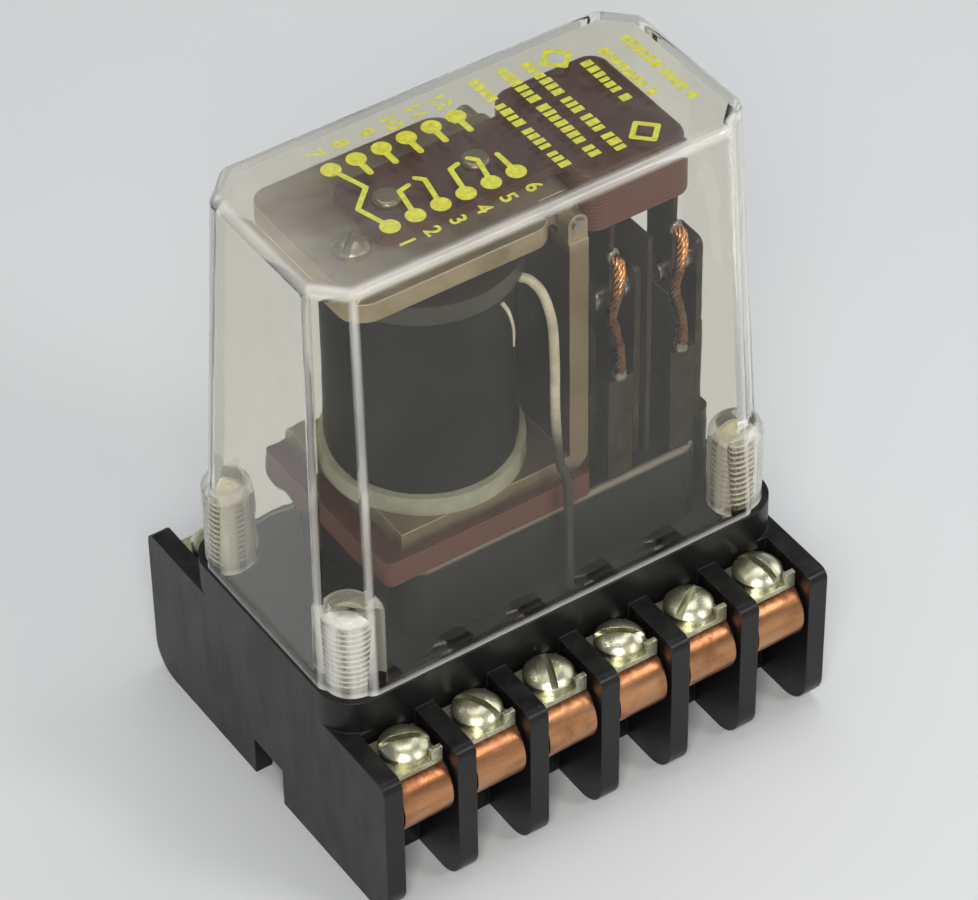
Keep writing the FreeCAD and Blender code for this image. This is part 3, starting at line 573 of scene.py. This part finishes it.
class Legend(Shape):
    """Inked marks on one level under the cover's top face."""

    def __init__(self):
        super().__init__()
        self.marks = 0

    def lift(self):
        self.marks += 1
        return self.marks * INK_STEP

    def plate(self, outline):
        lift = self.lift()
        add_flat(self, outline, INK[0] + lift, INK[1] + lift)

    def dot(self, x, y, radius, sides=28):
        around = [2 * math.pi * k / sides for k in range(sides)]
        self.plate([(x + radius * math.cos(a), y + radius * math.sin(a)) for a in around])

    def line(self, points, width=LINE):
        """Straight strokes with rounded ends."""
        for (ax, ay), (bx, by) in zip(points, points[1:]):
            heading = math.atan2(by - ay, bx - ax)
            outline = []
            for (x, y), start in (((bx, by), -90), ((ax, ay), 90)):
                for step in range(7):
                    angle = heading + math.radians(start + 30 * step)
                    outline.append((x + math.cos(angle) * width / 2, y + math.sin(angle) * width / 2))
            self.plate(outline)

    def number(self, text, x, y, size):
        """A numeral read from the far side to the near side."""
        curve = bpy.data.curves.new("numeral", "FONT")
        curve.body = text
        curve.size = size
        curve.extrude = (INK[1] - INK[0]) / 2
        curve.offset = 0.05
        curve.resolution_u = 4
        curve.align_x = "CENTER"
        curve.align_y = "CENTER"
        holder = bpy.data.objects.new("numeral", curve)
        bpy.context.scene.collection.objects.link(holder)
        bpy.context.view_layer.update()
        flat = bpy.data.meshes.new_from_object(holder.evaluated_get(bpy.context.evaluated_depsgraph_get()))
        middle = sum(INK) / 2 + self.lift()
        points = [(x + v.co.y, y - v.co.x, middle + v.co.z) for v in flat.vertices]
        self.add(points, [tuple(p.vertices) for p in flat.polygons])
        bpy.data.objects.remove(holder)
        bpy.data.curves.remove(curve)
        bpy.data.meshes.remove(flat)

    def words(self, x, start, end, tall, seed):
        """A row of small blocks, in groups, where the real cover carries a line of words."""
        y = start
        cell = 0
        left = 0
        while y > end + 0.9:
            chance = noise.cell(Vector((seed + 0.5, cell + 0.5, 0.5)))
            if left <= 0:
                left = 3 + int(abs(chance) * 4.99)
            wide = 0.62 + 0.4 * abs(chance)
            high = tall * (0.86 + 0.14 * abs(noise.cell(Vector((seed + 0.5, cell + 0.5, 7.5)))))
            low = x - tall / 2
            self.plate([(low, y - wide), (low + high, y - wide), (low + high, y), (low, y)])
            y -= wide + 0.30
            left -= 1
            if left <= 0:
                y -= 0.55
            cell += 1


# The rows of words: X, first Y, last Y, height, seed.
WORD_ROWS = (
    (5.5, 9.4, -9.5, 1.35, 1),
    (9.1, 9.3, -9.2, 1.45, 2),
    (11.9, 8.7, -9.6, 1.45, 3),
    (17.2, 5.3, -2.7, 1.35, 4),
    (20.0, 6.1, -4.3, 1.35, 5),
    (23.2, 6.5, -6.7, 1.35, 6),
)
MARKS_AT = ((15.0, 7.5), (15.5, -8.1))


def make_legend():
    shape = Legend()
    for index, x in enumerate(DOTS_X):
        shape.dot(x, FAR_DOTS_Y, DOT_R)
        shape.dot(x, NEAR_DOTS_Y, DOT_R)
        shape.number(str(index + 7), x, FAR_DOTS_Y + 3.1, 2.6)
        shape.number(str(index + 1), x, NEAR_DOTS_Y - 3.1, 2.6)
        if index:
            shape.line([(x, FAR_DOTS_Y), (x, 2.6)], 0.75)
    shape.line([(-14.9, -5.9), (-16.1, -1.7), (-13.5, 0.8), (-14.9, 5.3)])
    shape.line([(-11.8, -5.9), (-11.0, -1.7), (-9.7, -1.4)])
    shape.line([(-8.7, -5.9), (-7.8, -1.6), (-8.5, -0.8)])
    shape.line([(-5.5, -5.9), (-4.7, -1.7), (-3.6, -1.4)])
    shape.line([(-2.4, -5.9), (-1.5, -2.0), (-2.2, -1.2)])
    shape.line([(0.7, -5.9), (0.7, -2.4)])
    for row in WORD_ROWS:
        shape.words(*row)
    for x, y in MARKS_AT:
        shape.line([(x + 1.7, y), (x, y + 1.7), (x - 1.7, y), (x, y - 1.7), (x + 1.7, y)], 0.62)
    return shape.piece("printed_legend", make_ink(), "clear_cover", smooth=False)


legend = make_legend()
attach(legend, "frame")


# ---------------------------------------------------------------- wound tape

TAPE_R = 10.30
TAPE_INNER_R = 10.12
TAPE_Z = (44.15, 68.55)
FLAP = (math.radians(-168), math.radians(-52))  # where the second layer starts and ends
FLAP_STEP = 0.17
TURN_HEIGHT = 1.35


def tape_radius(angle, z):
    """Uneven turns beneath the cloth, and a second layer up to the loose end."""
    round_about = Vector((math.cos(angle), math.sin(angle), 0))
    swell = 0.08 * noise.noise(round_about * 2.2 + Vector((0, 0, z * 0.16)))
    ridge = 0.012 * math.sin(2 * math.pi * z / TURN_HEIGHT + 0.6 * math.sin(angle * 2))
    edge = min((z - TAPE_Z[0]) / 1.2, (TAPE_Z[1] - z) / 1.2, 1.0)
    second = FLAP_STEP if FLAP[0] < angle < FLAP[1] else 0.0
    return TAPE_R + swell + ridge - 0.18 * (1 - max(edge, 0)) ** 2 + second


def make_wound_tape():
    """The coil's cloth tape: an uneven outside, a smooth inside and two flat ends."""
    shape = Shape()
    rows, sectors = 72, 200
    angles = [-math.pi + 2 * math.pi * k / sectors for k in range(sectors)]
    angles = sorted(angles + [end + side for end in FLAP for side in (-0.002, 0.002)])
    count = len(angles)
    points = []
    for row in range(rows + 1):
        z = TAPE_Z[0] + (TAPE_Z[1] - TAPE_Z[0]) * row / rows
        for angle in angles:
            r = tape_radius(angle, z)
            points.append((COIL_X + r * math.cos(angle), r * math.sin(angle), z))
    outer = len(points)
    for z in TAPE_Z:
        for angle in angles:
            points.append((COIL_X + TAPE_INNER_R * math.cos(angle), TAPE_INNER_R * math.sin(angle), z))
    faces = []
    for row in range(rows):
        for k in range(count):
            n = (k + 1) % count
            low, high = row * count, (row + 1) * count
            faces.append((low + k, low + n, high + n, high + k))
    last = rows * count
    for k in range(count):
        n = (k + 1) % count
        faces.append((outer + n, n, k, outer + k))
        faces.append((outer + count + k, last + k, last + n, outer + count + n))
        faces.append((outer + k, outer + count + k, outer + count + n, outer + n))
    shape.add(points, faces)
    return shape.piece("wound_tape", LOOKS["black_tape"], "black_tape")


tape = make_wound_tape()
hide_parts("coil_tape")
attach(tape, "frame")


# ---------------------------------------------------------------- braided leads and their joints

BLADES_X = (10.4, 18.6)
BRAID_STRANDS = 6
BRAID_R = 0.42
STRAND_R = 0.27
BRAID_TURN = 2.1 * 2.4  # length of braid in which a strand goes once round
braid_copper = make_braid_copper()
solder = make_solder()


def make_braids():
    """Four braids of twisted strands, each from a blade's edge down to its post."""
    shape = Shape()
    for x in BLADES_X:
        for sign in (-1, 1):
            route = [
                (x, sign * 8.72, 66.0),
                (x - 0.1, sign * 10.3, 65.6),
                (x - 0.9, sign * 11.0, 63.2),
                (x - 1.6, sign * 11.0, 60.0),
                (x - 0.9, sign * 10.7, 56.6),
                (x, sign * 10.25, 53.6),
                (x, sign * 10.25, 50.05),
            ]
            path = curve_through(route, 14)
            tangents, sides = frames_along(path)
            length = [0.0]
            for a, b in zip(path, path[1:]):
                length.append(length[-1] + (b - a).length)
            for strand in range(BRAID_STRANDS):
                line = []
                for point, tangent, side, run in zip(path, tangents, sides, length):
                    angle = 2 * math.pi * (strand / BRAID_STRANDS + run / BRAID_TURN)
                    other = tangent.cross(side)
                    pull = BRAID_R * (1 + 0.12 * math.sin(run * 2.3 + strand))
                    line.append(point + (side * math.cos(angle) + other * math.sin(angle)) * pull)
                add_tube(shape, line, STRAND_R, 7)
    return shape.piece("braided_leads", braid_copper, "copper")


braids = make_braids()
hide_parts("copper_braids")
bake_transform(braids)


def make_joints(name, z, y, size, seed):
    """A lump of solder at one end of each braid."""
    shape = Shape()
    for pole, x in enumerate(BLADES_X):
        for side, sign in enumerate((-1, 1)):
            add_lump(shape, (x, sign * y, z), size, seed + 2 * pole + side)
    return shape.piece(name, solder, "silver_contact")


blade_joints = make_joints("solder_on_blades", 66.0, 8.95, (0.85, 0.5, 0.95), 3.1)
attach(blade_joints, "armature")
post_joints = make_joints("solder_on_posts", 50.3, 10.25, (0.8, 0.75, 0.9), 7.7)
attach(post_joints, "frame")


# ---------------------------------------------------------------- the coil's leads


LEAD_R = 0.55
LEAD_ROUTE = (
    (-0.9, 7.95, 67.9),
    (-0.1, 8.9, 67.6),
    (0.7, 10.0, 66.0),
    (1.2, 10.9, 62.5),
    (1.3, 11.2, 57.0),
    (1.1, 11.6, 50.0),
    (1.3, 12.2, 43.5),
    (2.0, 12.75, 38.0),
    (2.0, 12.75, 6.5),
)
WINDING_END_ROUTE = (
    (-5.0, -10.7, 68.2),
    (-4.5, -11.2, 67.0),
    (-4.2, -11.6, 65.0),
    (-4.1, -11.5, 62.4),
)


def make_coil_lead(sign, name):
    """A sleeved lead from the top of the coil down past the yoke and through the platform."""
    shape = Shape()
    path = curve_through([(x, sign * y, z) for x, y, z in LEAD_ROUTE], 10)
    add_tube(shape, path, LEAD_R, 12)
    return shape.piece(name, LOOKS["white_wire"], "white_wire")


for side, sign in (("near", -1), ("far", 1)):
    lead = make_coil_lead(sign, "sleeved_lead_" + side)
    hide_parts("coil_lead_" + side)
    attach(lead, "frame")


def make_winding_end():
    """The thin end of the winding, down the near side of the coil."""
    shape = Shape()
    add_tube(shape, curve_through(WINDING_END_ROUTE, 10), lambda share: 0.26 - 0.14 * share, 8)
    return shape.piece("winding_end", LOOKS["white_wire"], "white_wire")


winding_end = make_winding_end()
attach(winding_end, "frame")


# ---------------------------------------------------------------- return spring

SPRING_X = 9.6
SPRING_Z = (50.5, 69.0)
SPRING_R = 1.6
SPRING_WIRE = 0.27
SPRING_PITCH = 0.62
LOWER_HOOK = ((0.0, 48.7), (0.0, 49.6), (0.6, 50.2))  # each point's step in X from the axis, and its Z
UPPER_HOOK = ((0.5, 69.4), (0.0, 70.0), (0.0, 72.95))


def make_tension_spring():
    """Close-wound turns between two hooked ends."""
    shape = Shape()
    low, high = SPRING_Z
    turns = (high - low) / SPRING_PITCH
    steps = int(turns * 18)
    path = [Vector((SPRING_X + step, 0.0, z)) for step, z in LOWER_HOOK]
    for step in range(steps + 1):
        share = step / steps
        angle = 2 * math.pi * turns * share
        x = SPRING_X + SPRING_R * math.cos(angle)
        path.append(Vector((x, SPRING_R * math.sin(angle), low + (high - low) * share)))
    path += [Vector((SPRING_X + step, 0.0, z)) for step, z in UPPER_HOOK]
    add_tube(shape, path, SPRING_WIRE, 8)
    return shape.piece("tension_spring", LOOKS["bare_steel"], "bare_steel")


spring = make_tension_spring()
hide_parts("return_spring")
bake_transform(spring)


# ---------------------------------------------------------------- threads cut in the cover's bosses


def make_cut_thread():
    """The whitened screw thread in the plastic of each boss."""
    p = Paint("Cut plastic")
    patch = p.noise(1800, 3, 0.6)
    colour = p.ramp(patch, (0.3, (0.72, 0.70, 0.62)), (0.7, (0.90, 0.88, 0.82)))
    return p.done(p.shader(colour, p.span(patch, 0.3, 0.7, 0.25, 0.45), Transmission_Weight=0.35, IOR=1.3))


THREAD_Z = (25.7, 35.0)
THREAD_PITCH = 0.78
THREAD_R = 1.74
THREAD_RIDGE = 0.17


def make_threads():
    """The four screw threads, one in each boss."""
    shape = Shape()
    low, high = THREAD_Z
    steps = 20
    total = int((high - low) / THREAD_PITCH * steps)
    for sx in (-1, 1):
        for sy in (-1, 1):
            path = []
            for step in range(total + 1):
                angle = 2 * math.pi * step / steps
                x = sx * BOSS[0] + THREAD_R * math.cos(angle)
                y = sy * BOSS[1] + THREAD_R * math.sin(angle)
                path.append(Vector((x, y, low + (high - low) * step / total)))
            add_tube(shape, path, THREAD_RIDGE, 6)
    return shape.piece("boss_threads", make_cut_thread(), "clear_cover")


threads = make_threads()
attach(threads, "frame")


# ---------------------------------------------------------------- floor, light and camera


def make_floor():
    p = Paint("Pale floor")
    tone = p.noise(9, 3, 0.5)
    colour = p.ramp(tone, (0.3, (0.72, 0.73, 0.735)), (0.7, (0.75, 0.76, 0.765)))
    material = p.done(p.shader(colour, 0.85))
    mesh = bpy.data.meshes.new("floor")
    reach = 3.0
    corners = [(-reach, -reach, 0), (reach, -reach, 0), (reach, reach, 0), (-reach, reach, 0)]
    mesh.from_pydata(corners, [], [(0, 1, 2, 3)])
    mesh.materials.append(material)
    made = bpy.data.objects.new("floor", mesh)
    bpy.context.scene.collection.objects.link(made)


def make_lamp(name, place, target, width, height, power, colour):
    data = bpy.data.lights.new(name, "AREA")
    data.shape = "RECTANGLE"
    data.size = width
    data.size_y = height
    data.energy = power
    data.color = colour
    lamp = bpy.data.objects.new(name, data)
    way = Vector(target) - Vector(place)
    lamp.location = place
    lamp.rotation_euler = way.to_track_quat("-Z", "Y").to_euler()
    bpy.context.scene.collection.objects.link(lamp)


def make_world():
    """A dim room that is brighter near the horizon, and brighter still through the clear cover."""
    world = bpy.data.worlds.new("studio")
    world.use_nodes = True
    tree = world.node_tree
    background = tree.nodes["Background"]
    background.inputs["Color"].default_value = (0.86, 0.93, 1.0, 1.0)
    rays = tree.nodes.new("ShaderNodeLightPath")
    way = tree.nodes.new("ShaderNodeTexCoord")
    split = tree.nodes.new("ShaderNodeSeparateXYZ")
    tree.links.new(way.outputs["Generated"], split.inputs["Vector"])
    height = tree.nodes.new("ShaderNodeMapRange")
    settings = {"From Min": 0.06, "From Max": 0.45, "To Min": 0.72, "To Max": 0.14}
    for key, value in settings.items():
        height.inputs[key].default_value = value
    tree.links.new(split.outputs["Z"], height.inputs["Value"])
    strength = tree.nodes.new("ShaderNodeMix")
    strength.inputs["B"].default_value = 0.66
    tree.links.new(rays.outputs["Is Transmission Ray"], strength.inputs["Factor"])
    tree.links.new(height.outputs["Result"], strength.inputs["A"])
    tree.links.new(strength.outputs["Result"], background.inputs["Strength"])
    bpy.context.scene.world = world
    bpy.context.scene.view_settings.view_transform = "Standard"


def make_camera():
    """A long lens, looking down from the near left."""
    place = Vector((-0.2025, -0.3069, 0.3721))
    right = Vector((0.82785, -0.56083, -0.01164))
    up = Vector((0.38534, 0.55348, 0.73835))
    back = right.cross(up)
    data = bpy.data.cameras.new("camera")
    data.lens = 165.6
    data.sensor_width = 36.0
    data.clip_start = 0.01
    data.clip_end = 20.0
    camera = bpy.data.objects.new("camera", data)
    columns = Matrix((right, up, back)).transposed().to_4x4()
    camera.matrix_world = Matrix.Translation(place) @ columns
    bpy.context.scene.collection.objects.link(camera)
    bpy.context.scene.camera = camera


make_floor()
make_world()
CENTRE = (0.0, 0.0, 0.04)
make_lamp("key", (-0.30, -0.42, 0.50), CENTRE, 0.22, 0.22, 2.6, (1.0, 0.975, 0.94))
make_lamp("overhead", (0.05, 0.12, 0.65), CENTRE, 0.50, 0.50, 1.6, (0.97, 0.985, 1.0))
make_lamp("rim", (0.29, -0.48, 0.44), CENTRE, 0.16, 0.16, 1.0, (1.0, 0.99, 0.96))
make_lamp("fill", (0.55, -0.05, 0.30), CENTRE, 0.35, 0.35, 0.6, (0.95, 0.98, 1.0))
make_camera()
